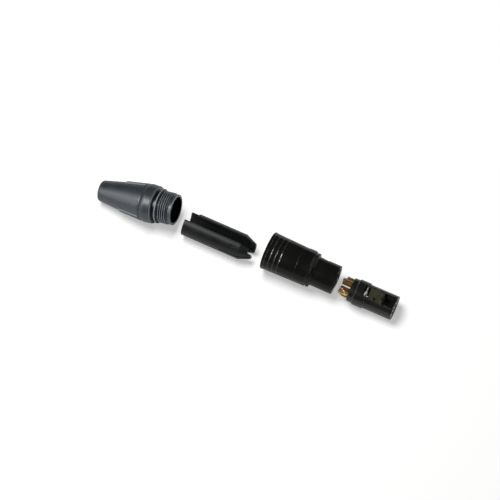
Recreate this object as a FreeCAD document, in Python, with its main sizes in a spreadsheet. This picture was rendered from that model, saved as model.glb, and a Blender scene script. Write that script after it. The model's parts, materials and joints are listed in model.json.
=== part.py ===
import FreeCAD, Part
import math
import os
import re
import Sketcher

# Five-pin XLR inline socket, taken apart into its four groups and laid in a row on a table:
# strain-relief bushing, cable chuck, housing and contact insert. Millimetres, +Z up.
# Each group is modelled along its own X axis, from its left end in the row, then laid down.

SIZES = {
    # How far a cut reaches past the surface it cuts
    "cut_over": 1.0,
    # Boot: soft sleeve the cable comes out of
    "boot_tail_radius": 5.7,
    "boot_mouth_radius": 10.0,
    "boot_length": 25.6,
    "boot_cable_radius": 4.0,
    "boot_tail_round": 0.8,
    "boot_spigot_radius": 7.6,
    "boot_spigot_length": 3.2,
    # Collar: hard threaded ring with two tongues that grip the boot
    "collar_step_height": 0.15,
    "collar_radius": 10.3,
    "collar_ring_length": 7.5,
    "collar_crown_length": 6.0,
    "collar_crown_height": 0.2,
    "collar_edge": 0.5,
    "collar_lip_length": 0.9,
    "collar_line_width": 0.5,
    "collar_line_depth": 0.3,
    "tongue_length": 12.0,
    "tongue_half_angle": 30.0,
    "tongue_depth": 0.6,
    "tongue_height": 0.55,
    "tongue_tip_round": 0.9,
    "collar_groove_radius": 8.0,
    "collar_groove_length": 1.9,
    "seat_ring_radius": 9.45,
    "seat_ring_length": 0.8,
    "seat_ring_edge": 0.2,
    "thread_relief_length": 0.35,
    "thread_crest_radius": 8.7,
    "thread_root_radius": 8.2,
    "thread_pitch": 0.7,
    "thread_crest_width": 0.12,
    "pilot_length": 1.75,
    "pilot_edge": 0.35,
    "bushing_mouth_radius": 7.15,
    "clamp_cone_front": 33.4,
        "clamp_cone_radius": 4.5,
    # Chuck: slit clamping sleeve
    "chuck_radius": 7.05,
    "chuck_bore_radius": 5.6,
    "chuck_length": 39.5,
    "jaw_taper_length": 6.4,
    "jaw_tip_radius": 4.4,
    "jaw_bore_radius": 2.7,
    "jaw_throat_length": 8.6,
    "jaw_throat_cone": 3.2,
    "jaw_tooth_pitch": 1.05,
    "jaw_tooth_depth": 0.25,
    "chuck_slot_width": 4.9,
    "chuck_notch_length": 5.4,
    "chuck_notch_floor": 0.6,
    "kerf_width": 0.9,
    "kerf_length": 17.0,
    "jaw_fork_width": 3.4,
    "jaw_fork_depth": 2.0,
    "jaw_gap_width": 3.2,
    "jaw_gap_depth": 3.4,
    "jaw_pocket_length": 2.8,
    "jaw_pocket_width": 1.4,
    "jaw_pocket_depth": 0.4,
    "jaw_pocket_back": 11.5,
    # Housing: die-cast shell with the round nose
    "rear_band_radius": 10.4,
    "rear_band_length": 1.6,
    "rear_band_height": 0.15,
    "rear_edge": 0.3,
    "shoulder_radius": 9.65,
    "body_length": 25.2,
    "shoulder_edge": 0.3,
    "shoulder_groove_radius": 9.1,
    "shoulder_groove_length": 0.6,
    "shoulder_ring_radius": 9.5,
    "shoulder_ring_length": 1.1,
    "shoulder_slope": 0.6,
    "nose_radius": 7.95,
    "nose_length": 12.4,
    "nose_edge": 0.4,
    "grip_groove_start": 3.7,
    "grip_groove_pitch": 2.6,
    "grip_groove_width": 0.4,
    "grip_groove_depth": 0.3,
    "witness_line_start": 17.9,
    "witness_line_depth": 0.12,
    "nose_bore_radius": 6.8,
    "seat_bore_radius": 7.35,
    "seat_depth": 23.6,
    "seat_bore_length": 4.6,
    "relief_bore_radius": 8.1,
    "thread_bore_radius": 8.85,
    "thread_bore_depth": 9.0,
    "rear_counterbore_radius": 9.55,
    "rear_counterbore_depth": 1.3,
    "hook_window_length": 2.9,
    "hook_play": 0.2,
    "hook_window_width": 4.4,
    "keyway_width": 2.4,
    # Push tab: ridged pad on a springy leaf, let into the housing's wall
    "tab_width": 5.0,
    "tab_pad_length": 4.2,
    "tab_pad_back": 0.5,
    "tab_clearance": 0.15,
    "tab_leaf_thickness": 0.4,
    "tab_leaf_gap": 0.12,
    "tab_leaf_start": 9.7,
    "tab_lip_height": 0.45,
    "tab_foot_length": 0.6,
    "tab_ridge_height": 0.3,
    "tab_ridge_pitch": 1.05,
    "tab_ridge_width": 0.55,
    # Insert: moulded block that holds the contacts and the latch
    "barrel_radius": 6.62,
    "barrel_length": 16.4,
    "flange_radius": 7.1,
    "flange_length": 6.3,
    "flange_edge": 0.6,
    "front_edge": 0.35,
    "rear_cap_radius": 6.5,
    "rear_cap_length": 2.8,
    "rear_cap_edge": 0.4,
    "contact_circle_radius": 4.05,
    "contact_step_angle": 60.0,
    "contact_first_angle": 30.0,
    "contact_radius": 1.25,
    "contact_hole_clearance": 0.04,
    "contact_recess": 1.2,
    "face_hole_radius": 1.22,
    "socket_bore_radius": 1.0,
    "socket_bore_depth": 9.0,
    "contact_shoulder_radius": 1.6,
    "contact_shoulder_length": 0.9,
    "cup_radius": 1.7,
    "cup_bore_radius": 1.35,
    "cup_length": 5.2,
    "cup_bore_depth": 4.4,
    "cup_scoop_start": 0.7,
    "cup_scoop_length": 4.0,
    "cup_standoff": 0.4,
    "channel_width": 6.9,
    "channel_floor": 3.6,
    "channel_start": 7.2,
    "channel_front_wall": 0.9,
    "well_floor": 0.8,
    "well_width": 4.1,
    "well_clearance": 0.4,
    "insert_key_width": 2.5,
    "insert_key_depth": 0.6,
    # Latch lever, its pivot pin and its torsion spring
    "pin_from_front": 17.1,
    "pin_height": 4.9,
    "pin_radius": 0.4,
    "pin_half_length": 4.6,
    "pin_hole_clearance": 0.01,
    "lever_width": 6.4,
    "lever_top": 5.6,
    "lever_sheet": 0.5,
    "lever_ear": 0.4,
    "lever_ear_radius": 0.85,
    "lever_ear_length": 3.0,
    "lever_ear_drop": 0.45,
    "lever_pin_clearance": 0.04,
    "lever_plate_start": 1.9,
    "lever_length": 9.6,
    "lever_hole_radius": 0.6,
    "lever_hole_distance": 5.3,
    "lever_hole_side": 2.1,
    "hook_length": 2.0,
    "hook_width": 3.8,
    "hook_top": 8.2,
    "hook_tip": 0.6,
    "hook_nose": 6.4,
    "spring_wire": 0.42,
    "spring_pitch": 0.5,
    "spring_turns": 4.0,
    "spring_coil_radius": 0.88,
    "spring_side": 0.3,
    "spring_short_leg": 1.0,
    "spring_long_leg": 2.3,
    "spring_exit_angle": 72.0,
    # Ground strip: sprung shell contact in a slot of the flange
    "strip_width": 2.0,
    "strip_thickness": 0.3,
    "strip_gap": 0.05,
    "strip_tag_length": 4.2,
    "strip_bow": 0.4,
    "strip_angle": 110.0,
    # How the four groups lie in the row
    "gap_bushing_chuck": 6.9,
    "gap_chuck_housing": 7.2,
    "gap_housing_insert": 2.9,
    "bushing_side": -4.25,
    "chuck_side": -2.4,
    "insert_side": -0.7,
    "bushing_yaw": 4.6,
    "chuck_yaw": -0.4,
    "insert_yaw": 0.6,
    "bushing_roll": -67.0,
    "chuck_roll": -8.0,
    "housing_roll": -70.0,
}

THREAD_TURNS = 9
GRIP_GROOVES = 3
TAB_RIDGES = 4
JAW_TEETH = 5
CONTACTS = 5

# Two places closer than this are taken as the same when edges are picked
TOUCH = 0.01

doc = FreeCAD.newDocument("xlr_socket")
sheet = doc.addObject("Spreadsheet::Sheet", "Sizes")
for row, (alias, number) in enumerate(SIZES.items(), start=1):
    sheet.set(f"A{row}", str(number))
    sheet.setAlias(f"A{row}", alias)
doc.recompute()

WORD = re.compile(r"[a-z][a-z_]+[a-z]")


def bound(text):
    """The expression with each size named as a cell of the sheet."""
    return WORD.sub(lambda found: "Sizes." + found.group() if found.group() in SIZES else found.group(), text)


def number(text):
    """The value of an expression written with size names."""
    return float(sheet.evalExpression(bound(text)))


def tie(thing, field, text):
    """Bind a field of an object to an expression of sizes."""
    thing.setExpression(field, bound(text))


def new_body(label):
    body = doc.addObject("PartDesign::Body", label)
    body.Label = label
    return body


def origin_feature(body, role):
    return [part for part in body.Origin.OriginFeatures if part.Role == role][0]


def new_sketch(body, name, role="XZ_Plane"):
    sketch = body.newObject("Sketcher::SketchObject", name)
    sketch.AttachmentSupport = [(origin_feature(body, role), "")]
    sketch.MapMode = "FlatFace"
    return sketch


def draw(sketch, points):
    """A closed outline through points, each coordinate tied to the sizes."""
    places = [FreeCAD.Vector(number(x), number(y), 0) for x, y in points]
    count = len(places)
    for index in range(count):
        sketch.addGeometry(Part.LineSegment(places[index], places[(index + 1) % count]))
    for index, (place, texts) in enumerate(zip(places, points)):
        sketch.addConstraint(Sketcher.Constraint("Coincident", index, 2, (index + 1) % count, 1))
        for kind, value, text in (("DistanceX", place.x, texts[0]), ("DistanceY", place.y, texts[1])):
            row = sketch.addConstraint(Sketcher.Constraint(kind, -1, 1, index, 1, value))
            tie(sketch, f"Constraints[{row}]", text)


def turned(body, name, points, angle="360", kind="Revolution", role="XZ_Plane"):
    """Turn an outline of (along, radius) points about the body's X axis."""
    sketch = new_sketch(body, name + "_profile", role)
    draw(sketch, points)
    feature = body.newObject("PartDesign::" + kind, name)
    feature.Profile = sketch
    feature.ReferenceAxis = (sketch, ["H_Axis"])
    tie(feature, "Angle", angle)
    if angle != "360":
        feature.Midplane = True
    doc.recompute()
    return feature


def block(body, kind, name, low, high):
    """A box between two corners, added to or cut from the body."""
    feature = body.newObject(f"PartDesign::{kind}Box", name)
    for field, axis in (("Length", 0), ("Width", 1), ("Height", 2)):
        tie(feature, field, f"({high[axis]}) - ({low[axis]})")
    for letter, text in zip("xyz", low):
        tie(feature, f"Placement.Base.{letter}", text)
    return feature


def rod(body, kind, name, radius, length, base, turn=(0, 0, 0)):
    """A cylinder, along Z before its turn (yaw, pitch, roll), added to or cut from the body."""
    feature = body.newObject(f"PartDesign::{kind}Cylinder", name)
    feature.Placement.Rotation = FreeCAD.Rotation(*turn)
    tie(feature, "Radius", radius)
    tie(feature, "Height", length)
    for letter, text in zip("xyz", base):
        tie(feature, f"Placement.Base.{letter}", text)
    return feature


def prism(body, name, points, width, kind="Pad"):
    """Pad or pocket an outline in the XZ plane, half its width to each side."""
    sketch = new_sketch(body, name + "_profile")
    draw(sketch, points)
    feature = body.newObject("PartDesign::" + kind, name)
    feature.Profile = sketch
    tie(feature, "Length", width)
    feature.Midplane = True
    return feature


def around(body, name, features, angle, count):
    """Repeat features about the body's X axis, the last copy at the angle."""
    pattern = body.newObject("PartDesign::PolarPattern", name)
    pattern.Originals = features
    pattern.Axis = (origin_feature(body, "X_Axis"), [""])
    tie(pattern, "Angle", angle)
    pattern.Occurrences = count
    body.Tip = pattern
    doc.recompute()
    return pattern


def dress(body, kind, name, size, wanted):
    """Round or bevel the edges of the body that the test picks."""
    doc.recompute()
    base = body.Tip
    picked = [f"Edge{n}" for n, edge in enumerate(base.Shape.Edges, start=1) if wanted(edge)]
    feature = body.newObject("PartDesign::" + kind, name)
    feature.Base = (base, picked)
    tie(feature, "Radius" if kind == "Fillet" else "Size", size)
    doc.recompute()
    return feature


def is_ring(edge, place, radius):
    """True for a full circle about X at a place along it."""
    box = edge.BoundBox
    flat = box.XLength < TOUCH and abs(box.Center.x - number(place)) < TOUCH
    return flat and abs(box.YLength / 2 - number(radius)) < TOUCH


# Bushing: places along its axis, from the tail

TONGUE_START = "(boot_length - tongue_length)"
BOOT_SLOPE = "((boot_mouth_radius - boot_tail_radius) / boot_length)"
TONGUE_TIP_RADIUS = f"(boot_tail_radius + {TONGUE_START} * {BOOT_SLOPE})"
COLLAR_LIP_RADIUS = "(boot_mouth_radius + collar_step_height)"
COLLAR_END = "(boot_length + collar_ring_length)"
SEAT_RING_START = f"({COLLAR_END} + collar_groove_length)"
SEAT_RING_END = f"({SEAT_RING_START} + seat_ring_length)"
THREAD_START = f"({SEAT_RING_END} + thread_relief_length)"
THREAD_END = f"({THREAD_START} + {THREAD_TURNS} * thread_pitch)"
BUSHING_LENGTH = f"({THREAD_END} + pilot_length)"


TONGUE = [
    (TONGUE_START, f"{TONGUE_TIP_RADIUS} - tongue_depth"),
    (TONGUE_START, f"{TONGUE_TIP_RADIUS} + tongue_height"),
    ("boot_length", COLLAR_LIP_RADIUS),
    ("boot_length", "boot_mouth_radius - tongue_depth"),
]


def make_boot():
    body = new_body("boot")
    turned(body, "sleeve", [
        ("0", "boot_cable_radius"),
        ("0", "boot_tail_radius"),
        ("boot_length", "boot_mouth_radius"),
        ("boot_length", "boot_spigot_radius"),
        ("boot_length + boot_spigot_length", "boot_spigot_radius"),
        ("boot_length + boot_spigot_length", "boot_cable_radius"),
    ])
    dress(body, "Fillet", "tail_round", "boot_tail_round",
          lambda edge: is_ring(edge, "0", "boot_tail_radius"))
    seat = turned(body, "tongue_seat", TONGUE, "2 * tongue_half_angle", "Groove")
    around(body, "tongue_seats", [seat], "360", 2)
    return body


def make_collar():
    body = new_body("bushing_collar")
    points = [
        ("boot_length", "boot_spigot_radius"),
        ("boot_length", COLLAR_LIP_RADIUS),
        ("boot_length + collar_lip_length", COLLAR_LIP_RADIUS),
        ("boot_length + collar_lip_length + collar_line_width / 2",
         f"{COLLAR_LIP_RADIUS} - collar_line_depth"),
        ("boot_length + collar_lip_length + collar_line_width", COLLAR_LIP_RADIUS),
        ("boot_length + collar_crown_length / 2", f"{COLLAR_LIP_RADIUS} + collar_crown_height"),
        ("boot_length + collar_crown_length", "collar_radius"),
        (f"{COLLAR_END} - collar_edge", "collar_radius"),
        (COLLAR_END, "collar_radius - collar_edge"),
        (COLLAR_END, "collar_groove_radius"),
        (SEAT_RING_START, "collar_groove_radius"),
        (SEAT_RING_START, "seat_ring_radius - seat_ring_edge"),
        (f"{SEAT_RING_START} + seat_ring_edge", "seat_ring_radius"),
        (f"{SEAT_RING_END} - seat_ring_edge", "seat_ring_radius"),
        (SEAT_RING_END, "seat_ring_radius - seat_ring_edge"),
        (SEAT_RING_END, "thread_root_radius"),
        (THREAD_START, "thread_root_radius"),
    ]
    for turn in range(THREAD_TURNS):
        ridge = f"{THREAD_START} + {turn} * thread_pitch"
        points += [
            (f"{ridge} + thread_pitch / 2 - thread_crest_width / 2", "thread_crest_radius"),
            (f"{ridge} + thread_pitch / 2 + thread_crest_width / 2", "thread_crest_radius"),
            (f"{ridge} + thread_pitch", "thread_root_radius"),
        ]
    points += [
        (f"{BUSHING_LENGTH} - pilot_edge", "thread_root_radius"),
        (BUSHING_LENGTH, "thread_root_radius - pilot_edge"),
        (BUSHING_LENGTH, "bushing_mouth_radius"),
        ("clamp_cone_front", "bushing_mouth_radius"),
        ("boot_length + boot_spigot_length", "clamp_cone_radius"),
        ("boot_length + boot_spigot_length", "boot_spigot_radius"),
    ]
    turned(body, "ring", points)
    tongue = turned(body, "tongue", TONGUE, "2 * tongue_half_angle")
    around(body, "tongues", [tongue], "360", 2)
    tip = number(TONGUE_START)
    longest = number("2 * (tongue_depth + tongue_height)")

    def is_tip_corner(edge):
        box = edge.BoundBox
        flat = box.XLength < TOUCH and abs(box.Center.x - tip) < TOUCH
        return flat and edge.Length < longest

    dress(body, "Fillet", "tongue_tips", "tongue_tip_round", is_tip_corner)
    return body


# Chuck: places along its axis, from its open rear end

TAPER_START = "(chuck_length - jaw_taper_length)"
THROAT_START = "(chuck_length - jaw_throat_length)"


def make_chuck():
    body = new_body("chuck")
    points = [
        ("0", "chuck_bore_radius"),
        ("0", "chuck_radius"),
        (TAPER_START, "chuck_radius"),
        ("chuck_length", "jaw_tip_radius"),
        ("chuck_length", "jaw_bore_radius"),
    ]
    for tooth in range(JAW_TEETH):
        crest = f"chuck_length - {tooth} * jaw_tooth_pitch"
        points += [
            (f"{crest} - jaw_tooth_pitch / 2", "jaw_bore_radius"),
            (f"{crest} - jaw_tooth_pitch * 3 / 4", "jaw_bore_radius + jaw_tooth_depth"),
            (f"{crest} - jaw_tooth_pitch", "jaw_bore_radius"),
        ]
    points += [
        (f"{THROAT_START} + jaw_throat_cone", "jaw_bore_radius"),
        (THROAT_START, "chuck_bore_radius"),
    ]
    turned(body, "sleeve", points)
    half_slot = "chuck_slot_width / 2"
    block(body, "Subtractive", "slot", ("-cut_over", f"-{half_slot}", "0"),
          ("chuck_length + cut_over", half_slot, "chuck_radius + cut_over"))
    block(body, "Subtractive", "rear_notch", ("-cut_over", f"-{half_slot}", "chuck_notch_floor"),
          ("chuck_notch_length", "chuck_radius + cut_over", "chuck_radius + cut_over"))
    block(body, "Subtractive", "kerf",
          ("chuck_length - kerf_length", "-kerf_width / 2", "-chuck_radius - cut_over"),
          ("chuck_length + cut_over", "kerf_width / 2", "0"))
    block(body, "Subtractive", "side_kerfs",
          ("chuck_length - kerf_length", "-chuck_radius - cut_over", "-kerf_width / 2"),
          ("chuck_length + cut_over", "chuck_radius + cut_over", "kerf_width / 2"))
    block(body, "Subtractive", "jaw_gap",
          ("chuck_length - jaw_gap_depth", "-jaw_gap_width / 2", "-chuck_radius - cut_over"),
          ("chuck_length + cut_over", "jaw_gap_width / 2", "0"))
    fork = block(body, "Subtractive", "jaw_fork",
                 ("chuck_length - jaw_fork_depth", "-jaw_fork_width / 2", "0"),
                 ("chuck_length + cut_over", "jaw_fork_width / 2", "chuck_radius + cut_over"))
    pocket = block(body, "Subtractive", "jaw_pocket",
                   ("chuck_length - jaw_pocket_back", "-jaw_pocket_width / 2",
                    "chuck_radius - jaw_pocket_depth"),
                   ("chuck_length - jaw_pocket_back + jaw_pocket_length", "jaw_pocket_width / 2",
                    "chuck_radius + cut_over"))
    for feature in (fork, pocket):
        feature.Placement.Rotation = FreeCAD.Rotation(0, 0, 45)
        reach = "jaw_fork_width" if feature is fork else "jaw_pocket_width"
        depth = "0" if feature is fork else "(chuck_radius - jaw_pocket_depth)"
        tie(feature, "Placement.Base.y", f"-{reach} / 2 * cos(45) - {depth} * sin(45)")
        tie(feature, "Placement.Base.z", f"-{reach} / 2 * sin(45) + {depth} * cos(45)")
    doc.recompute()
    return body


# Housing: places along its axis, from its rear rim

RING_START = "(body_length + shoulder_groove_length)"
NOSE_START = f"({RING_START} + shoulder_ring_length + shoulder_slope)"
HOUSING_LENGTH = f"({NOSE_START} + nose_length)"
BAND_INNER_RADIUS = "(rear_band_radius - rear_band_height)"
BODY_SLOPE = f"(({BAND_INNER_RADIUS} - shoulder_radius) / (body_length - rear_band_length))"
SEAT_START = "(seat_depth - seat_bore_length)"
PAD_END = "(body_length - tab_pad_back)"
PAD_START = f"({PAD_END} - tab_pad_length)"
LEAF_OUTER_RADIUS = "(relief_bore_radius - tab_leaf_gap)"
LEAF_INNER_RADIUS = f"({LEAF_OUTER_RADIUS} - tab_leaf_thickness)"
FOOT_END = f"({PAD_END} + tab_foot_length)"
HOOK_END = "(seat_depth + barrel_length - pin_from_front + lever_length + hook_play)"


def wall_radius(place):
    """Outer radius of the housing's tapered body at a place along it."""
    return f"({BAND_INNER_RADIUS} - ({place} - rear_band_length) * {BODY_SLOPE})"


def make_housing():
    body = new_body("housing")
    points = [
        ("0", "rear_counterbore_radius"),
        ("0", "rear_band_radius - rear_edge"),
        ("rear_edge", "rear_band_radius"),
        ("rear_band_length", "rear_band_radius"),
        ("rear_band_length", BAND_INNER_RADIUS),
    ]
    cuts = [(f"grip_groove_start + {groove} * grip_groove_pitch", "grip_groove_depth")
            for groove in range(GRIP_GROOVES)]
    cuts.append(("witness_line_start", "witness_line_depth"))
    for start, depth in cuts:
        points += [
            (start, wall_radius(f"({start})")),
            (f"{start} + grip_groove_width / 2", f"{wall_radius(f'({start})')} - {depth}"),
            (f"{start} + grip_groove_width", wall_radius(f"({start} + grip_groove_width)")),
        ]
    points += [
        ("body_length - shoulder_edge", wall_radius("(body_length - shoulder_edge)")),
        ("body_length", "shoulder_radius - shoulder_edge"),
        ("body_length", "shoulder_groove_radius"),
        (RING_START, "shoulder_groove_radius"),
        (RING_START, "shoulder_ring_radius"),
        (f"{RING_START} + shoulder_ring_length", "shoulder_ring_radius"),
        (NOSE_START, "nose_radius"),
        (f"{HOUSING_LENGTH} - nose_edge", "nose_radius"),
        (HOUSING_LENGTH, "nose_radius - nose_edge"),
        (HOUSING_LENGTH, "nose_bore_radius + nose_edge"),
        (f"{HOUSING_LENGTH} - nose_edge", "nose_bore_radius"),
        ("seat_depth", "nose_bore_radius"),
        ("seat_depth", "seat_bore_radius"),
        (SEAT_START, "seat_bore_radius"),
        (SEAT_START, "relief_bore_radius"),
        ("thread_bore_depth", "relief_bore_radius"),
        ("thread_bore_depth", "thread_bore_radius"),
        ("rear_counterbore_depth", "thread_bore_radius"),
        ("rear_counterbore_depth", "rear_counterbore_radius"),
    ]
    turned(body, "shell", points, role="XY_Plane")
    side = "tab_width / 2 + tab_clearance"
    block(body, "Subtractive", "tab_slot",
          (f"{PAD_START} - tab_clearance", f"-({side})", "0"),
          (f"{PAD_END} + tab_clearance", side, "rear_band_radius + cut_over"))
    block(body, "Subtractive", "leaf_channel",
          (f"{SEAT_START} - cut_over", f"-({side})", "0"),
          (f"{FOOT_END} + tab_clearance", side, "relief_bore_radius"))
    block(body, "Subtractive", "lip_seat",
          ("tab_leaf_start - tab_clearance", f"-({side})", "0"),
          ("tab_leaf_start + tab_leaf_thickness + tab_clearance", side,
           f"{LEAF_OUTER_RADIUS} + tab_lip_height + tab_clearance"))
    block(body, "Subtractive", "hook_window",
          (f"{HOOK_END} - hook_window_length", "-hook_window_width / 2", "0"),
          (HOOK_END, "hook_window_width / 2", "nose_radius + cut_over"))
    block(body, "Subtractive", "keyway",
          (f"{NOSE_START} + nose_edge", "-keyway_width / 2", "-nose_radius - cut_over"),
          (f"{HOUSING_LENGTH} + cut_over", "keyway_width / 2", "0"))
    doc.recompute()
    return body


def make_push_tab():
    body = new_body("push_tab")
    points = [
        ("tab_leaf_start", LEAF_INNER_RADIUS),
        ("tab_leaf_start", f"{LEAF_OUTER_RADIUS} + tab_lip_height"),
        ("tab_leaf_start + tab_leaf_thickness", f"{LEAF_OUTER_RADIUS} + tab_lip_height"),
        ("tab_leaf_start + tab_leaf_thickness", LEAF_OUTER_RADIUS),
        (PAD_START, LEAF_OUTER_RADIUS),
        (PAD_START, wall_radius(PAD_START)),
    ]
    for ridge in range(TAB_RIDGES):
        margin = f"(tab_pad_length - {TAB_RIDGES} * tab_ridge_pitch) / 2"
        start = f"{PAD_START} + {margin} + {ridge} * tab_ridge_pitch"
        points += [
            (f"{start} + (tab_ridge_pitch - tab_ridge_width) / 2", wall_radius(PAD_START)),
            (f"{start} + tab_ridge_pitch / 2 - tab_ridge_width / 5",
             f"{wall_radius(PAD_START)} + tab_ridge_height"),
            (f"{start} + tab_ridge_pitch / 2 + tab_ridge_width / 5",
             f"{wall_radius(PAD_START)} + tab_ridge_height"),
            (f"{start} + (tab_ridge_pitch + tab_ridge_width) / 2", wall_radius(PAD_START)),
        ]
    points += [
        (PAD_END, wall_radius(PAD_START)),
        (PAD_END, LEAF_OUTER_RADIUS),
        (FOOT_END, LEAF_OUTER_RADIUS),
        (FOOT_END, LEAF_INNER_RADIUS),
    ]
    turned(body, "pad_and_leaf", points, "60")
    for name, near, far in (("left_trim", "tab_width / 2", "rear_band_radius"),
                            ("right_trim", "-rear_band_radius", "-tab_width / 2")):
        block(body, "Subtractive", name, ("0", near, "0"),
              (f"{FOOT_END} + cut_over", far, "rear_band_radius + cut_over"))
    doc.recompute()
    return body


# Insert: places along its axis, from the rear face of the rear cap

INSERT_LENGTH = "(rear_cap_length + flange_length + barrel_length)"
FLANGE_END = "(rear_cap_length + flange_length)"
CONTACT_END = f"({INSERT_LENGTH} - contact_recess)"
PIN_PLACE = f"({INSERT_LENGTH} - pin_from_front)"
LEVER_END = f"({PIN_PLACE} + lever_length)"
CONTACT_HOLE = "(contact_radius + contact_hole_clearance)"
CUP_START = "(-cup_standoff - cup_length)"


def contact_place():
    """Where the first contact stands, across the insert's axis."""
    return ("contact_circle_radius * cos(contact_first_angle)",
            "contact_circle_radius * sin(contact_first_angle)")


def contact_bores(body, spans):
    """Bore each stretch of a contact's hole, and repeat it at all the contacts."""
    side, up = contact_place()
    for name, radius, start, end in spans:
        bore = rod(body, "Subtractive", name, radius, f"({end}) - ({start})", (start, side, up), (0, 90, 0))
        doc.recompute()
        row = around(body, name + "s", [bore], f"contact_step_angle * {CONTACTS - 1}", CONTACTS)
        row.Reversed = True
        doc.recompute()


def make_insert_body():
    body = new_body("insert_body")
    turned(body, "moulding", [
        ("rear_cap_length", "0"),
        ("rear_cap_length", "flange_radius - flange_edge"),
        ("rear_cap_length + flange_edge", "flange_radius"),
        (FLANGE_END, "flange_radius"),
        (FLANGE_END, "barrel_radius"),
        (f"{INSERT_LENGTH} - front_edge", "barrel_radius"),
        (INSERT_LENGTH, "barrel_radius - front_edge"),
        (INSERT_LENGTH, "0"),
    ])
    contact_bores(body, [
        ("contact_bore", CONTACT_HOLE, "0", CONTACT_END),
        ("face_hole", "face_hole_radius", f"{CONTACT_END} - cut_over", f"{INSERT_LENGTH} + cut_over"),
        ("shoulder_seat", "contact_shoulder_radius + contact_hole_clearance",
         "0", "rear_cap_length + contact_shoulder_length + contact_hole_clearance"),
    ])
    block(body, "Subtractive", "lever_channel",
          ("channel_start", "-channel_width / 2", "channel_floor"),
          (f"{INSERT_LENGTH} - channel_front_wall", "channel_width / 2", "flange_radius + cut_over"))
    block(body, "Subtractive", "hook_well",
          (f"{LEVER_END} + well_clearance", "-well_width / 2", "well_floor"),
          (f"{INSERT_LENGTH} - channel_front_wall", "well_width / 2", "flange_radius + cut_over"))
    rod(body, "Subtractive", "pin_hole", "pin_radius + pin_hole_clearance", "2 * pin_half_length",
        (PIN_PLACE, "pin_half_length", "pin_height"), (0, 0, 90))
    block(body, "Subtractive", "key_groove",
          (f"{FLANGE_END} + cut_over", "-insert_key_width / 2", "-barrel_radius - cut_over"),
          (f"{INSERT_LENGTH} + cut_over", "insert_key_width / 2", "-barrel_radius + insert_key_depth"))
    slot = block(body, "Subtractive", "strip_slot",
                 ("0", "0", "0"), (FLANGE_END, "strip_width + 2 * strip_gap", "flange_radius"))
    slot.Placement.Rotation = FreeCAD.Rotation(0, 0, -number("strip_angle"))
    half = "(strip_width / 2 + strip_gap)"
    tie(slot, "Placement.Base.y", f"-{half} * cos(strip_angle) + rear_cap_radius * sin(strip_angle)")
    tie(slot, "Placement.Base.z", f"{half} * sin(strip_angle) + rear_cap_radius * cos(strip_angle)")
    doc.recompute()
    return body


def make_rear_cap():
    body = new_body("rear_cap")
    turned(body, "disc", [
        ("0", "0"),
        ("0", "rear_cap_radius - rear_cap_edge"),
        ("rear_cap_edge", "rear_cap_radius"),
        ("rear_cap_length", "rear_cap_radius"),
        ("rear_cap_length", "0"),
    ])
    contact_bores(body, [("stem_hole", CONTACT_HOLE, "-cut_over", "rear_cap_length + cut_over")])
    return body


def make_contact(index):
    body = new_body(f"contact_{index}")
    turned(body, "turning", [
        (CUP_START, "cup_bore_radius"),
        (CUP_START, "cup_radius"),
        ("-cup_standoff", "cup_radius"),
        ("-cup_standoff", "contact_radius"),
        ("rear_cap_length", "contact_radius"),
        ("rear_cap_length", "contact_shoulder_radius"),
        ("rear_cap_length + contact_shoulder_length", "contact_shoulder_radius"),
        ("rear_cap_length + contact_shoulder_length", "contact_radius"),
        (CONTACT_END, "contact_radius"),
        (CONTACT_END, "socket_bore_radius"),
        (f"{CONTACT_END} - socket_bore_depth", "socket_bore_radius"),
        (f"{CONTACT_END} - socket_bore_depth - socket_bore_radius", "0"),
        (f"{CUP_START} + cup_bore_depth", "0"),
        (f"{CUP_START} + cup_bore_depth", "cup_bore_radius"),
    ])
    prism(body, "scoop", [
        (f"{CUP_START} - cut_over", "0"),
        (f"{CUP_START} + cup_scoop_start", "0"),
        (f"{CUP_START} + cup_scoop_length", "cup_radius"),
        (f"{CUP_START} + cup_scoop_length", "cup_radius + cut_over"),
        (f"{CUP_START} - cut_over", "cup_radius + cut_over"),
    ], "2 * (cup_radius + cut_over)", "Pocket")
    doc.recompute()
    return body


def make_lever():
    body = new_body("latch_lever")
    half = "lever_width / 2"
    block(body, "Additive", "plate",
          (f"{PIN_PLACE} + lever_plate_start", f"-{half}", "lever_top - lever_sheet"),
          (LEVER_END, half, "lever_top"))
    block(body, "Additive", "ears",
          (PIN_PLACE, f"-{half}", "pin_height - lever_ear_drop"),
          (f"{PIN_PLACE} + lever_ear_length", half, "lever_top"))
    rod(body, "Additive", "ear_ends", "lever_ear_radius", "lever_width",
        (PIN_PLACE, half, "pin_height"), (0, 0, 90))
    block(body, "Subtractive", "between_ears",
          (f"{PIN_PLACE} - 2 * lever_ear_radius", f"-{half} + lever_ear", "0"),
          (f"{PIN_PLACE} + lever_plate_start", f"{half} - lever_ear", "lever_top + cut_over"))
    block(body, "Subtractive", "under_plate",
          (f"{PIN_PLACE} - 2 * lever_ear_radius", f"-{half} + lever_ear", "0"),
          (LEVER_END, f"{half} - lever_ear", "lever_top - lever_sheet"))
    rod(body, "Subtractive", "pin_holes", "pin_radius + lever_pin_clearance", "lever_width + 2 * cut_over",
        (PIN_PLACE, f"{half} + cut_over", "pin_height"), (0, 0, 90))
    rod(body, "Subtractive", "dimple", "lever_hole_radius", "lever_top",
        (f"{PIN_PLACE} + lever_hole_distance", "-lever_hole_side", "lever_sheet"))
    prism(body, "hook", [
        (f"{LEVER_END} - hook_length", "lever_top - lever_sheet"),
        (f"{LEVER_END} - hook_length", "hook_top"),
        (f"{LEVER_END} - hook_length + hook_tip", "hook_top"),
        (LEVER_END, "hook_nose"),
        (LEVER_END, "lever_top - lever_sheet"),
    ], "hook_width")
    doc.recompute()
    return body


def make_lever_pin():
    body = new_body("lever_pin")
    rod(body, "Additive", "shaft", "pin_radius", "2 * pin_half_length",
        (PIN_PLACE, "pin_half_length", "pin_height"), (0, 0, 90))
    doc.recompute()
    return body


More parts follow.
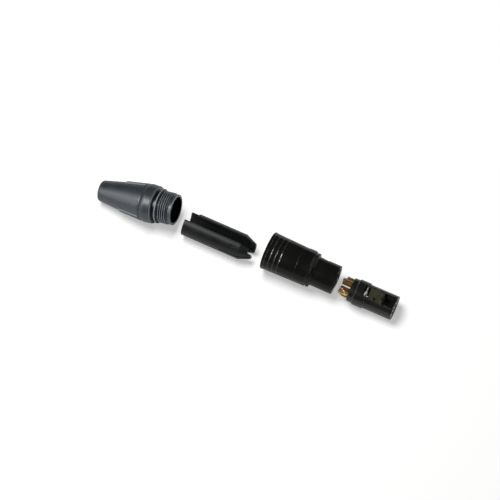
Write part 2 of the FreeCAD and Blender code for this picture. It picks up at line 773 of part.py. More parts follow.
def make_lever_spring():
    """Torsion spring round the pin: a short leg on the channel's floor, a long one under the lever."""
    wire = number("spring_wire / 2")
    pitch = number("spring_pitch")
    radius = number("spring_coil_radius")
    exit_angle = math.radians(number("spring_exit_angle"))
    height = pitch * (number("spring_turns") - exit_angle / math.tau)
    start = FreeCAD.Vector(radius, 0, 0)
    helix = Part.makeHelix(pitch, height, radius)
    section = Part.Wire(Part.makeCircle(wire, start, FreeCAD.Vector(0, 1, 0)))
    coil = Part.Wire(helix.Edges).makePipeShell([section], True, True)
    short_leg = Part.makeCylinder(wire, number("spring_short_leg"), start, FreeCAD.Vector(0, -1, 0))
    end = FreeCAD.Vector(radius * math.cos(exit_angle), -radius * math.sin(exit_angle), height)
    forward = FreeCAD.Vector(math.sin(exit_angle), math.cos(exit_angle), 0)
    long_leg = Part.makeCylinder(wire, number("spring_long_leg"), end - forward * wire / 2, forward)
    feature = doc.addObject("Part::Feature", "lever_spring")
    feature.Label = "lever_spring"
    feature.Shape = coil.fuse(short_leg).fuse(long_leg)
    return feature


def make_ground_strip():
    body = new_body("ground_strip")
    low = "(rear_cap_radius + strip_gap)"
    high = f"({low} + strip_thickness)"
    middle = "(rear_cap_length + flange_length / 2)"
    prism(body, "strip", [
        ("-strip_tag_length", low),
        ("-strip_tag_length", high),
        ("rear_cap_length + flange_edge", high),
        (middle, f"{high} + strip_bow"),
        (f"{FLANGE_END} - flange_edge", high),
        (f"{FLANGE_END} - strip_gap", high),
        (f"{FLANGE_END} - strip_gap", low),
        (f"{FLANGE_END} - flange_edge", low),
        (middle, f"{low} + strip_bow"),
        ("rear_cap_length + flange_edge", low),
    ], "strip_width")
    doc.recompute()
    return body


def lying(first_place, first_radius, second_place, second_radius):
    """Pitch and height of an axis that lies on two circles of these radii on the table."""
    run = number(second_place) - number(first_place)
    rise = number(second_radius) - number(first_radius)
    pitch = math.atan2(rise, run)
    height = number(first_radius) * math.cos(pitch) - number(first_place) * math.sin(pitch)
    return math.degrees(pitch), height


def laid(start, side, yaw, roll, pitch, height):
    """Placement of a group whose axis starts at a place in the row."""
    turn = FreeCAD.Rotation(yaw, -pitch, roll)
    return FreeCAD.Placement(FreeCAD.Vector(start, side, height), turn)


def level_length(length, pitch, yaw):
    """How far along the row an axis of this length reaches."""
    return length * math.cos(math.radians(pitch)) * math.cos(math.radians(yaw))


boot = make_boot()
collar = make_collar()
chuck = make_chuck()
housing = make_housing()
push_tab = make_push_tab()
insert_body = make_insert_body()
rear_cap = make_rear_cap()
contacts = [make_contact(index) for index in range(1, CONTACTS + 1)]
lever = make_lever()
lever_pin = make_lever_pin()
lever_spring = make_lever_spring()
ground_strip = make_ground_strip()

# The row, built outwards from the housing, whose rear rim starts at zero

shoulder_place = "(body_length - shoulder_edge)"
housing_pitch, housing_height = lying("rear_band_length", "rear_band_radius",
                                      shoulder_place, wall_radius(shoulder_place))
housing_place = laid(0, 0, 0, number("housing_roll"), housing_pitch, housing_height)

chuck_yaw = number("chuck_yaw")
chuck_start = -number("gap_chuck_housing") - level_length(number("chuck_length"), 0, chuck_yaw)
chuck_place = laid(chuck_start, number("chuck_side"), chuck_yaw, number("chuck_roll"),
                   0, number("chuck_radius"))

bushing_pitch, bushing_height = lying("boot_tail_round", f"boot_tail_radius + boot_tail_round * {BOOT_SLOPE}",
                                      "boot_length", "boot_mouth_radius + collar_step_height")
bushing_yaw = number("bushing_yaw")
bushing_reach = level_length(number(BUSHING_LENGTH), bushing_pitch, bushing_yaw)
bushing_start = chuck_start - number("gap_bushing_chuck") - bushing_reach
bushing_place = laid(bushing_start, number("bushing_side"), bushing_yaw, number("bushing_roll"),
                     bushing_pitch, bushing_height)

key_edge = "sqrt(barrel_radius ^ 2 - (insert_key_width / 2) ^ 2)"
insert_pitch, insert_height = lying(FLANGE_END, "flange_radius", INSERT_LENGTH, key_edge)
insert_start = number(f"{HOUSING_LENGTH} + gap_housing_insert - {CUP_START}")
insert_place = laid(insert_start, number("insert_side"), number("insert_yaw"), 0, insert_pitch, insert_height)

for thing in (boot, collar):
    thing.Placement = bushing_place
chuck.Placement = chuck_place
for thing in (housing, push_tab):
    thing.Placement = housing_place
for thing in (insert_body, rear_cap, lever, lever_pin):
    thing.Placement = insert_place
for index, contact in enumerate(contacts):
    angle = math.radians(number("contact_first_angle") - index * number("contact_step_angle"))
    circle = number("contact_circle_radius")
    across = FreeCAD.Vector(0, circle * math.cos(angle), circle * math.sin(angle))
    outward = FreeCAD.Rotation(FreeCAD.Vector(1, 0, 0), math.degrees(angle) - 90)
    contact.Placement = insert_place * FreeCAD.Placement(across, outward)
spring_base = FreeCAD.Vector(number(PIN_PLACE), -number("spring_side"), number("pin_height"))
spring_turn = FreeCAD.Rotation(FreeCAD.Vector(1, 0, 0), 90)
lever_spring.Placement = insert_place * FreeCAD.Placement(spring_base, spring_turn)
strip_turn = FreeCAD.Rotation(FreeCAD.Vector(1, 0, 0), -number("strip_angle"))
ground_strip.Placement = insert_place * FreeCAD.Placement(FreeCAD.Vector(), strip_turn)
doc.recompute()

pieces = [boot, collar, chuck, housing, push_tab, insert_body, rear_cap, *contacts,
          lever, lever_pin, lever_spring, ground_strip]

# The origin is on the table under the middle of the row

extent = FreeCAD.BoundBox()
for piece in pieces:
    extent.add(piece.Shape.optimalBoundingBox(False))
centre = FreeCAD.Placement(FreeCAD.Vector(-extent.Center.x, -extent.Center.y, 0), FreeCAD.Rotation())
for piece in pieces:
    piece.Placement = centre * piece.Placement
doc.recompute()

for thing in doc.Objects:
    if "Invalid" in thing.State or "Error" in thing.State:
        raise RuntimeError(f"{thing.Name} failed: {thing.State}")

os.makedirs("parts", exist_ok=True)
for piece in pieces:
    shape = piece.Shape
    if shape.isNull() or not shape.isValid() or len(shape.Solids) != 1:
        raise RuntimeError(f"{piece.Label} isn't one valid solid")
    shape.exportStep(f"parts/{piece.Label}.step")
    box = shape.optimalBoundingBox(False)
    print(piece.Label, round(shape.Volume, 3), [round(v, 3) for v in (
        box.XMin, box.YMin, box.ZMin, box.XMax, box.YMax, box.ZMax)])
for name, piece in (("bushing", boot), ("chuck", chuck), ("housing", housing), ("insert", insert_body)):
    print("group", name, [round(v, 6) for v in piece.Placement.Matrix.A])
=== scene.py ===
"""Five-pin XLR inline socket, taken apart into four groups in a row on a white table."""

import json
import math

import bmesh
import bpy
import mathutils
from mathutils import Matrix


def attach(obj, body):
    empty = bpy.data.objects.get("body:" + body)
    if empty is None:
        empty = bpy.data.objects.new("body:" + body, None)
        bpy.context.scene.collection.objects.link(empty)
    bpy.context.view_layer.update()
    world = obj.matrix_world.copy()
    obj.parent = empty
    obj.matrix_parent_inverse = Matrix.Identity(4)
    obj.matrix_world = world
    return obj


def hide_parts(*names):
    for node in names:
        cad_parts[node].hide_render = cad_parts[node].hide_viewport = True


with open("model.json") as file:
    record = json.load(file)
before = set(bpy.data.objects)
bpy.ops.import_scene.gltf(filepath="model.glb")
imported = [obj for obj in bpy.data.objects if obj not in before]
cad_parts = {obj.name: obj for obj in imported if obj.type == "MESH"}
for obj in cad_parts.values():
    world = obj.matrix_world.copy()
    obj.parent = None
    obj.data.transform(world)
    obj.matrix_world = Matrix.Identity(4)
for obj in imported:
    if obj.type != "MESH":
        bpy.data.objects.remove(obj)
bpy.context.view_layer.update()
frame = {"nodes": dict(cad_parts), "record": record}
NODES = frame["nodes"]
MM = 0.001


# Colours are written as the photograph shows them, 0 to 255

def ink(red, green, blue):
    """A display colour as the linear colour that shaders take."""
    def linear(value):
        value /= 255
        return value / 12.92 if value <= 0.04045 else ((value + 0.055) / 1.055) ** 2.4
    return (linear(red), linear(green), linear(blue), 1.0)


BOOT_GREY = ink(25, 30, 35)
BOOT_PALE = ink(50, 59, 69)
COLLAR_GREY = ink(38, 44, 48)
COLLAR_PALE = ink(64, 72, 78)
# Painted light on the bushing: painted shade in recesses and thread roots, painted highlight on crests and
# edges
BUSHING_PAINTED_SHADE = ink(8, 9, 10)
BUSHING_PAINTED_HIGHLIGHT = ink(136, 144, 150)
CHUCK_BLACK = ink(19, 20, 21)
CHUCK_PALE = ink(35, 37, 38)
CHROME_BLACK = ink(14, 15, 12)
CHROME_PALE = ink(27, 28, 24)
# Bare metal of the nose lip, and the colour of the painted glints on the groove and shoulder edges
BARE_AND_GLINT_CHROME = ink(226, 226, 220)
INSERT_BLACK = ink(19, 20, 18)
INSERT_PALE = ink(32, 34, 30)
TAB_BLACK = ink(14, 14, 14)
GOLD = ink(255, 232, 180)
GOLD_DEEP = ink(204, 160, 94)
LEVER_OLIVE = ink(134, 131, 106)
LEVER_DARK = ink(44, 44, 36)
STEEL = ink(246, 247, 244)
STEEL_DULL = ink(204, 206, 203)
TABLE_WHITE = ink(232, 232, 231)


# Nodes

def feed(tree, socket, value):
    """Give a socket its value, either another socket's or a constant."""
    if isinstance(value, bpy.types.NodeSocket):
        tree.links.new(value, socket)
    else:
        socket.default_value = value


def add_node(tree, kind, **values):
    """A node with its inputs fed by name, an underscore standing for a space."""
    node = tree.nodes.new(kind)
    for name, value in values.items():
        feed(tree, node.inputs[name.replace("_", " ")], value)
    return node


def worked(tree, kind, operation, *terms):
    """A node of arithmetic on its terms, in order."""
    node = tree.nodes.new(kind)
    node.operation = operation
    for socket, term in zip(node.inputs, terms):
        feed(tree, socket, term)
    return node.outputs


def number(tree, operation, *terms):
    return worked(tree, "ShaderNodeMath", operation, *terms)["Value"]


def vector(tree, operation, *terms, output="Vector"):
    return worked(tree, "ShaderNodeVectorMath", operation, *terms)[output]


def ramp(tree, value, low, high, at_low=0.0, at_high=1.0):
    """A value carried from one range to another, and held at its ends."""
    node = add_node(tree, "ShaderNodeMapRange", Value=value, From_Min=low, From_Max=high,
                    To_Min=at_low, To_Max=at_high)
    return node.outputs["Result"]


def object_spot(tree):
    return add_node(tree, "ShaderNodeTexCoord").outputs["Object"]


def noise(tree, spot, scale, detail):
    return add_node(tree, "ShaderNodeTexNoise", Vector=spot, Scale=scale, Detail=detail).outputs["Fac"]


# Effects that several finishes share

def new_group(name, inputs, outputs):
    """A node group, the sockets that enter it and the node that its results leave by."""
    group = bpy.data.node_groups.new(name, "ShaderNodeTree")
    for socket, value in inputs.items():
        made = group.interface.new_socket(socket, in_out="INPUT", socket_type="NodeSocketFloat")
        made.default_value = value
    for socket, kind in outputs.items():
        group.interface.new_socket(socket, in_out="OUTPUT", socket_type=kind)
    return group, group.nodes.new("NodeGroupInput").outputs, group.nodes.new("NodeGroupOutput")


def give(group, leave, **results):
    """Let results leave a group by name."""
    for name, value in results.items():
        group.links.new(value, leave.inputs[name])


def drifting(group, pattern, enter):
    """Roughness that drifts round its base with a pattern."""
    centred = number(group, "SUBTRACT", pattern, 0.5)
    return number(group, "MULTIPLY_ADD", centred, enter["Drift"], enter["Base Roughness"])


def make_moulded_grain():
    """Fine grain of a moulded surface over slow, soft waviness, with a drifting roughness."""
    group, enter, leave = new_group(
        "moulded_grain",
        {"Grain Size": 2600.0, "Base Roughness": 0.4, "Drift": 0.1},
        {"Height": "NodeSocketFloat", "Roughness": "NodeSocketFloat", "Cloud": "NodeSocketFloat"})
    spot = object_spot(group)
    fine = noise(group, spot, enter["Grain Size"], 3.0)
    slow = noise(group, spot, 160.0, 4.0)
    give(group, leave, Height=number(group, "MULTIPLY_ADD", slow, 0.8, fine),
         Roughness=drifting(group, slow, enter), Cloud=slow)
    return group


def make_worn_and_highlight_edge():
    """A mask of the sharp edges, broken up as handling does, and the normal of an eased edge; the edges it
    pales are partly handling wear and partly a painted highlight.
    """
    group, enter, leave = new_group(
        "worn_and_highlight_edge",
        {"Ease": 0.00012, "Amount": 0.5, "Least": 0.0},
        {"Mask": "NodeSocketFloat", "Broken": "NodeSocketFloat", "Normal": "NodeSocketVector"})
    bevel = add_node(group, "ShaderNodeBevel", Radius=enter["Ease"])
    bevel.samples = 6
    eased_normal = bevel.outputs["Normal"]
    plain_normal = add_node(group, "ShaderNodeNewGeometry").outputs["Normal"]
    agreement = vector(group, "DOT_PRODUCT", eased_normal, plain_normal, output="Value")
    edge = ramp(group, agreement, 0.98, 0.86)
    broken = ramp(group, noise(group, object_spot(group), 900.0, 4.0), 0.38, 0.62, enter["Least"])
    mask = number(group, "MULTIPLY", number(group, "MULTIPLY", edge, broken), enter["Amount"])
    give(group, leave, Mask=mask, Broken=broken, Normal=eased_normal)
    return group


def make_drawn_lines():
    """Fine lines across the X axis, as turning or drawing leaves them."""
    group, enter, leave = new_group(
        "drawn_lines",
        {"Lines": 9000.0, "Base Roughness": 0.25, "Drift": 0.15},
        {"Height": "NodeSocketFloat", "Roughness": "NodeSocketFloat"})
    stretched = add_node(group, "ShaderNodeMapping", Vector=object_spot(group), Scale=(1.0, 0.04, 0.04))
    lines = noise(group, stretched.outputs["Vector"], enter["Lines"], 2.0)
    give(group, leave, Height=lines, Roughness=drifting(group, lines, enter))
    return group


MOULDED_GRAIN = make_moulded_grain()
WORN_AND_HIGHLIGHT_EDGE = make_worn_and_highlight_edge()
DRAWN_LINES = make_drawn_lines()


# Where the groups lie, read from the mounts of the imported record

MOUNTS = {mount["name"]: mount for mount in frame["record"]["mounts"]}
UP = mathutils.Vector((0.0, 0.0, 1.0))


def half_length(mount):
    return MOUNTS[mount]["dims"]["length_mm"] / 2


def group_place(mount, turned_about, middle, roll):
    """Matrix of a group whose X axis runs through a mount, the mount's middle at a place along it."""
    centre = mathutils.Vector(MOUNTS[mount]["pos_m"])
    along = mathutils.Vector(MOUNTS[mount]["axis"]).normalized() * turned_about
    level = UP.cross(along).normalized()
    rise = along.cross(level)
    roll = math.radians(roll)
    side = level * math.cos(roll) + rise * math.sin(roll)
    high = rise * math.cos(roll) - level * math.sin(roll)
    start = centre - along * middle * MM
    turn = mathutils.Matrix((along, side, high)).transposed().to_4x4()
    return mathutils.Matrix.Translation(start) @ turn


NOSE_MIDDLE = 33.5
BUSHING_PLACE = group_place("cable_bore", -1.0, half_length("cable_bore"), -67.0)
HOUSING_PLACE = group_place("nose", 1.0, NOSE_MIDDLE, -70.0)
INSERT_PLACE = group_place("contact_bore_1", 1.0, 0.0, 0.0)


# Zones: a group's place, the zone's start and end along its X axis, and its radius, in millimetres

FULL_RADIUS = 20.0
NOSE_LIP = (HOUSING_PLACE, 38.9, 40.2, 7.4)
MOULDING_STEP = (HOUSING_PLACE, 17.5, 18.3, FULL_RADIUS)
GRIP_GROOVES = (HOUSING_PLACE, 1.5, 9.5, FULL_RADIUS)
SHOULDER_RING = (HOUSING_PLACE, 24.4, 28.2, FULL_RADIUS)
BORE_FRONT = half_length("contact_bore_1")
# Painted highlight: a band round the insert's front rim, paled as a broken bright line
INSERT_RIM_HIGHLIGHT = (INSERT_PLACE, BORE_FRONT + 0.6, BORE_FRONT + 1.12, FULL_RADIUS)
# Painted glints: in these zones the edges on the side facing the given direction are coloured bright bare
# metal
GLINT_PATCHES = ((GRIP_GROOVES, (0.0, -0.485, 0.875)), (SHOULDER_RING, (0.0, 0.05, 0.999)))


# Finishes

class Finish:
    """A material under construction: its Principled shader and the nodes round it."""

    def __init__(self, name, metallic, specular):
        self.material = bpy.data.materials.new(name)
        self.material.use_nodes = True
        self.tree = self.material.node_tree
        self.shader = self.tree.nodes["Principled BSDF"]
        self.give(Metallic=metallic, Specular_IOR_Level=specular)

    def give(self, **values):
        """Feed the shader's inputs by name."""
        for name, value in values.items():
            feed(self.tree, self.shader.inputs[name.replace("_", " ")], value)

    def group(self, group, **values):
        node = self.tree.nodes.new("ShaderNodeGroup")
        node.node_tree = group
        for name, value in values.items():
            feed(self.tree, node.inputs[name.replace("_", " ")], value)
        return node.outputs

    def mix(self, factor, low, high):
        """A colour between two, each a colour or a socket."""
        node = self.tree.nodes.new("ShaderNodeMix")
        node.data_type = "RGBA"
        feed(self.tree, node.inputs["Factor"], factor)
        for name, value in (("A", low), ("B", high)):
            socket = [s for s in node.inputs if s.name == name and s.type == "RGBA"][0]
            feed(self.tree, socket, value)
        return [s for s in node.outputs if s.type == "RGBA"][0]

    def both(self, operation, first, second):
        return number(self.tree, operation, first, second)

    def add_painted_light(self, colour, sunk, raised):
        """A colour drawn to a painted shade where the piece's tone is sunk, and to a painted highlight
        where it is raised.
        """
        painted_light = self.tree.nodes.new("ShaderNodeAttribute")
        painted_light.attribute_name = "painted_light"
        for end, shade in ((-1.0, sunk), (1.0, raised)):
            colour = self.mix(ramp(self.tree, painted_light.outputs["Fac"], 0.0, end), colour, shade)
        return colour

    def within(self, place, start, end, radius):
        """A mask of a zone, with soft borders."""
        reach = vector(self.tree, "SUBTRACT", object_spot(self.tree), place.translation)
        axis = place.to_3x3().col[0]
        along = vector(self.tree, "DOT_PRODUCT", reach, axis, output="Value")
        across = vector(self.tree, "CROSS_PRODUCT", reach, axis)
        out = vector(self.tree, "LENGTH", across, output="Value")
        past_start = ramp(self.tree, along, start * MM, (start + 0.2) * MM)
        before_end = ramp(self.tree, along, end * MM, (end - 0.1) * MM)
        inside = ramp(self.tree, out, (radius + 0.1) * MM, radius * MM)
        return self.both("MULTIPLY", self.both("MULTIPLY", past_start, before_end), inside)

    def side(self, place, facing):
        """A mask of what faces one way from a group's X axis, used to place painted glints."""
        axis = place.to_3x3().col[0]
        reach = vector(self.tree, "SUBTRACT", object_spot(self.tree), place.translation)
        turned = vector(self.tree, "NORMALIZE", vector(self.tree, "CROSS_PRODUCT", reach, axis))
        sought = mathutils.Vector(facing).cross(axis).normalized()
        return ramp(self.tree, vector(self.tree, "DOT_PRODUCT", turned, sought, output="Value"), 0.93, 0.97)

    def relief(self, height, normal, strength, distance):
        bump = add_node(self.tree, "ShaderNodeBump", Strength=strength, Distance=distance,
                        Height=height, Normal=normal)
        self.give(Normal=bump.outputs["Normal"])


MOULDED_DRIFT = 0.22
MOULDED_DEPTH = 0.00005
WORN_SHARE_OF_ROUGHNESS = 0.25
METAL_DRIFT = 0.3
METAL_CLOUD = 1500.0
METAL_DEPTH = 0.00002
METAL_EASE = 0.00008


def moulded(name, colours, roughness, grain, relief, edge, pale_edge_share, ease, painted_lights=None, bare=None,
            highlight_rim=None, plain=None, glint_patches=(), least=0.0, specular=0.5):
    """Moulded or plated skin: grain, cloudy colour, edges paled partly by handling and partly as a painted
    highlight, painted shade and highlight from the tone, painted glints, and zones of its own.
    """
    finish = Finish(name, 0.0, specular)
    skin = finish.group(MOULDED_GRAIN, Grain_Size=grain, Base_Roughness=roughness, Drift=MOULDED_DRIFT)
    rim = finish.group(WORN_AND_HIGHLIGHT_EDGE, Ease=ease, Amount=pale_edge_share, Least=least)
    colour = finish.mix(skin["Cloud"], *colours)
    if painted_lights:
        colour = finish.add_painted_light(colour, *painted_lights)
    smooth = rim["Mask"]
    if plain:
        away = ramp(finish.tree, finish.within(*plain), 0.0, 1.0, 1.0, 0.0)
        smooth = finish.both("MULTIPLY", smooth, away)
    # Painted highlight: the rim zone takes the pale edge colour, broken up
    if highlight_rim:
        shown = finish.both("MULTIPLY", finish.within(*highlight_rim), rim["Broken"])
        smooth = finish.both("MAXIMUM", smooth, shown)
    # Painted glints: edges in each zone, on the side facing one way, take the bright bare metal colour
    for zone, facing in glint_patches:
        patch = finish.both("MULTIPLY", finish.within(*zone), finish.side(zone[0], facing))
        edge = finish.mix(patch, edge, BARE_AND_GLINT_CHROME)
    colour = finish.mix(smooth, colour, edge)
    if bare:
        shown = finish.within(*bare)
        colour = finish.mix(shown, colour, BARE_AND_GLINT_CHROME)
        finish.give(Metallic=finish.both("MAXIMUM", smooth, shown))
    share = ramp(finish.tree, smooth, 0.0, 1.0, 1.0, WORN_SHARE_OF_ROUGHNESS)
    finish.give(Base_Color=colour, Roughness=finish.both("MULTIPLY", skin["Roughness"], share))
    finish.relief(skin["Height"], rim["Normal"], relief, MOULDED_DEPTH)
    return finish.material


def metal(name, colours, roughness, lines, relief, metallic=1.0, specular=0.5):
    """Drawn, turned or plated metal: fine lines, a deeper tone where it is cloudy, eased edges."""
    finish = Finish(name, metallic, specular)
    skin = finish.group(DRAWN_LINES, Lines=lines, Base_Roughness=roughness, Drift=METAL_DRIFT)
    cloud = finish.group(MOULDED_GRAIN, Grain_Size=METAL_CLOUD)
    rim = finish.group(WORN_AND_HIGHLIGHT_EDGE, Ease=METAL_EASE, Amount=0.0)
    finish.give(Base_Color=finish.mix(cloud["Cloud"], *colours), Roughness=skin["Roughness"])
    finish.relief(skin["Height"], rim["Normal"], relief, METAL_DEPTH)
    return finish.material


# Painted shade and painted highlight that the bushing's tone lays on its colours
BUSHING_PAINTED_LIGHT = (BUSHING_PAINTED_SHADE, BUSHING_PAINTED_HIGHLIGHT)
BOOT_RUBBER = moulded(
    "boot_rubber", (BOOT_GREY, BOOT_PALE), roughness=0.42, grain=3200.0, relief=0.25,
    edge=ink(84, 91, 98), pale_edge_share=0.3, ease=0.00025, painted_lights=BUSHING_PAINTED_LIGHT, specular=1.0)
COLLAR_PLASTIC = moulded(
    "collar_plastic", (COLLAR_GREY, COLLAR_PALE), roughness=0.36, grain=3600.0, relief=0.2,
    edge=ink(120, 127, 133), pale_edge_share=0.6, ease=0.0002, painted_lights=BUSHING_PAINTED_LIGHT, specular=0.6)
CHUCK_PLASTIC = moulded(
    "chuck_plastic", (CHUCK_BLACK, CHUCK_PALE), roughness=0.34, grain=2600.0, relief=0.18,
    edge=ink(62, 64, 64), pale_edge_share=0.45, ease=0.0002, specular=0.25)
# The housing: edges paled partly by handling and partly as painted highlight, painted glints on the groove
# and shoulder edges, painted shade and highlight on its thread, and a bare lip
BLACK_CHROME = moulded(
    "black_chrome", (CHROME_BLACK, CHROME_PALE), roughness=0.2, grain=1800.0, relief=0.03,
    edge=ink(118, 118, 114), pale_edge_share=0.9, ease=0.0003, painted_lights=(CHROME_BLACK, CHROME_PALE),
    bare=NOSE_LIP, plain=MOULDING_STEP, glint_patches=GLINT_PATCHES, least=0.8, specular=0.16)
TAB_PLASTIC = moulded(
    "tab_plastic", (TAB_BLACK, CHUCK_PALE), roughness=0.3, grain=3000.0, relief=0.15,
    edge=ink(90, 90, 88), pale_edge_share=0.5, ease=0.0002)
# The insert's pale edge colour also paints the highlights on its edges and front rim
INSERT_PLASTIC = moulded(
    "insert_plastic", (INSERT_BLACK, INSERT_PALE), roughness=0.26, grain=2800.0, relief=0.16,
    edge=ink(206, 208, 202), pale_edge_share=0.35, ease=0.00022, highlight_rim=INSERT_RIM_HIGHLIGHT)
GOLD_PLATE = metal("gold_plate", (GOLD_DEEP, GOLD), roughness=0.24, lines=7000.0, relief=0.2)
LEVER_SHEET = metal(
    "lever_sheet", (LEVER_DARK, LEVER_OLIVE), roughness=0.5, lines=6000.0, relief=0.3, specular=0.4)
BRIGHT_STEEL = metal(
    "bright_steel", (STEEL_DULL, STEEL), roughness=0.3, lines=9000.0, relief=0.2, metallic=0.6)

NODE_FINISHES = {
    "boot": BOOT_RUBBER,
    "bushing_collar": COLLAR_PLASTIC,
    "chuck": CHUCK_PLASTIC,
    "housing": BLACK_CHROME,
    "push_tab": TAB_PLASTIC,
    "insert_body": INSERT_PLASTIC,
    "rear_cap": INSERT_PLASTIC,
    "contact_1": GOLD_PLATE,
    "contact_2": GOLD_PLATE,
    "contact_3": GOLD_PLATE,
    "contact_4": GOLD_PLATE,
    "contact_5": GOLD_PLATE,
    "latch_lever": LEVER_SHEET,
    "lever_pin": BRIGHT_STEEL,
    "lever_spring": BRIGHT_STEEL,
    "ground_strip": BRIGHT_STEEL,
}
for node_name, node_finish in NODE_FINISHES.items():
    for material_slot in NODES[node_name].material_slots:
        material_slot.material = node_finish


# Turned pieces, built as a net of rings round the X axis, in millimetres

def even(start, end, step):
    """Places from start to end, no further apart than the step, without the end."""
    count = max(1, math.ceil(abs(end - start) / step))
    return [start + (end - start) * index / count for index in range(count)]


def filled(outline, step, closed=True):
    """An outline of (along, radius) corners, with more points on its long runs."""
    points = []
    ends = outline[1:] + outline[:1] if closed else outline[1:]
    for (x0, r0), (x1, r1) in zip(outline, ends):
        for share in even(0.0, 1.0, step / max(math.hypot(x1 - x0, r1 - r0), step)):
            points.append((x0 + (x1 - x0) * share, r0 + (r1 - r0) * share))
    return points if closed else points + [outline[-1]]


SHARP_ANGLE = math.radians(38)


class Net:
    """Points and faces of one piece, with a tone at each point: below 0 sunk, a painted shade, above 0
    raised, a painted highlight.
    """

    def __init__(self):
        self.points, self.painted_lights, self.faces = [], [], []

    def add(self, x, radius, angle, painted_light=0.0):
        self.points.append((x, radius * math.cos(angle), radius * math.sin(angle)))
        self.painted_lights.append(painted_light)
        return len(self.points) - 1

    def ring_body(self, outline, rounds, shape):
        """Turn a closed outline; shape gives the radius and the painted-light tone of a point at an angle.
        """
        rows = []
        for step in range(rounds):
            angle = math.tau * step / rounds
            row = []
            for x, radius in outline:
                shaped, painted_light = shape(x, radius, angle)
                row.append(self.add(x, shaped, angle, painted_light))
            rows.append(row)
        self.join(rows, True, True)

    def join(self, rows, round_rows=False, round_columns=False):
        """Faces between neighbouring rows of points."""
        row_count, column_count = len(rows), len(rows[0])
        for i in range(row_count if round_rows else row_count - 1):
            for j in range(column_count if round_columns else column_count - 1):
                a, b = rows[i], rows[(i + 1) % row_count]
                k = (j + 1) % column_count
                self.faces.append((a[j], a[k], b[k], b[j]))

    def make(self, name, place, body, material):
        mesh = bpy.data.meshes.new(name)
        mesh.from_pydata([place @ (mathutils.Vector(point) * MM) for point in self.points], [], self.faces)
        painted_light = mesh.attributes.new("painted_light", "FLOAT", "POINT")
        painted_light.data.foreach_set("value", self.painted_lights)
        mesh.validate()
        bm = bmesh.new()
        bm.from_mesh(mesh)
        bmesh.ops.recalc_face_normals(bm, faces=bm.faces)
        bm.to_mesh(mesh)
        bm.free()
        mesh.shade_smooth()
        mesh.set_sharp_from_angle(angle=SHARP_ANGLE)
        mesh.materials.append(material)
        piece = bpy.data.objects.new(name, mesh)
        bpy.context.collection.objects.link(piece)
        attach(piece, body)
        return piece


def eased(distance, size):
    """How far a rounded edge of this size has dropped, at a distance in from the edge."""
    inside = min(max(distance, 0.0), size)
    return size - math.sqrt(size ** 2 - (size - inside) ** 2)


def bell(distance, width):
    """1 on a line, falling softly to 0 beyond a width."""
    return math.exp(-(distance / width) ** 2)


def ridge(place, pitch, crest):
    """Height from 0 to 1 of a thread with a flat crest, at a place along it."""
    phase = (place / pitch) % 1.0
    rise = min(phase, 1.0 - phase) * 2.0
    return min(rise / (1.0 - crest), 1.0)


# Bushing: sizes in millimetres from the tail, as the solids have them

BOOT_LENGTH = 25.6
BOOT_TAIL, BOOT_MOUTH = 5.7, 10.0
BOOT_CABLE = 4.0
BOOT_SPIGOT, BOOT_SPIGOT_END = 7.6, 28.8
BOOT_SLOPE = (BOOT_MOUTH - BOOT_TAIL) / BOOT_LENGTH
TAIL_ROUND = 0.8
TONGUE_TIP = 13.6
TONGUE_HALF = math.radians(30.0)
TONGUE_HEIGHT = 0.55
TONGUE_ROUND = 0.9
LIP_RADIUS = 10.15
COLLAR_END = 33.1
COLLAR_RADIUS = 10.3
GROOVE_RADIUS, GROOVE_END = 8.0, 35.0
RING_RADIUS, RING_END = 9.45, 35.8
THREAD_START, THREAD_END = 36.15, 42.45
THREAD_PITCH = 1.2
THREAD_ROOT, THREAD_CREST = 8.2, 8.7
BUSHING_END = 44.2
MOUTH_RADIUS = 7.15
CONE_FRONT, CONE_RADIUS = 33.4, 4.5
# Painted highlight: these collar edges get a pale tone
HIGHLIGHTED_EDGES = (COLLAR_END - 0.15, GROOVE_END + 0.2, RING_END - 0.2, BUSHING_END - 0.05)
EDGE_PAINTED_HIGHLIGHT, EDGE_HIGHLIGHT_WIDTH = 0.9, 0.2
# Painted shade: the sunk tone darkens the boot's tail, ends and bore and the underside of the tongues; the
# hole tone darkens the groove, the bores and the thread's back
PAINTED_SHADE_TONE = -0.6
HOLE_PAINTED_SHADE = -1.0
SEAT_DEPTH, SEAT_WIDTH = 0.2, 0.36
# A painted highlight pales the mould line
MOULD_LINE_HEIGHT, MOULD_LINE_WIDTH, MOULD_LINE_HIGHLIGHT = 0.04, 0.12, 0.2
BOOT_ROUNDS = 300
COLLAR_ROUNDS = 288
THREAD_RUN_OUT = 0.5
THREAD_FLAT = 0.2
TONGUE_EDGE_ROUND = 0.2
TONGUE_EDGE_WIDTH = 0.4
TONGUE_SINK = 0.5


def tongue_edge(x, angle):
    """Distance in millimetres inside a tongue's outline, below 0 outside it."""
    radius = BOOT_TAIL + x * BOOT_SLOPE
    off = abs(angle % math.pi - math.pi / 2)
    side = (TONGUE_HALF - off) * radius
    tip = x - TONGUE_TIP
    if side < TONGUE_ROUND and tip < TONGUE_ROUND:
        return TONGUE_ROUND - math.hypot(TONGUE_ROUND - side, TONGUE_ROUND - tip)
    return min(side, tip)


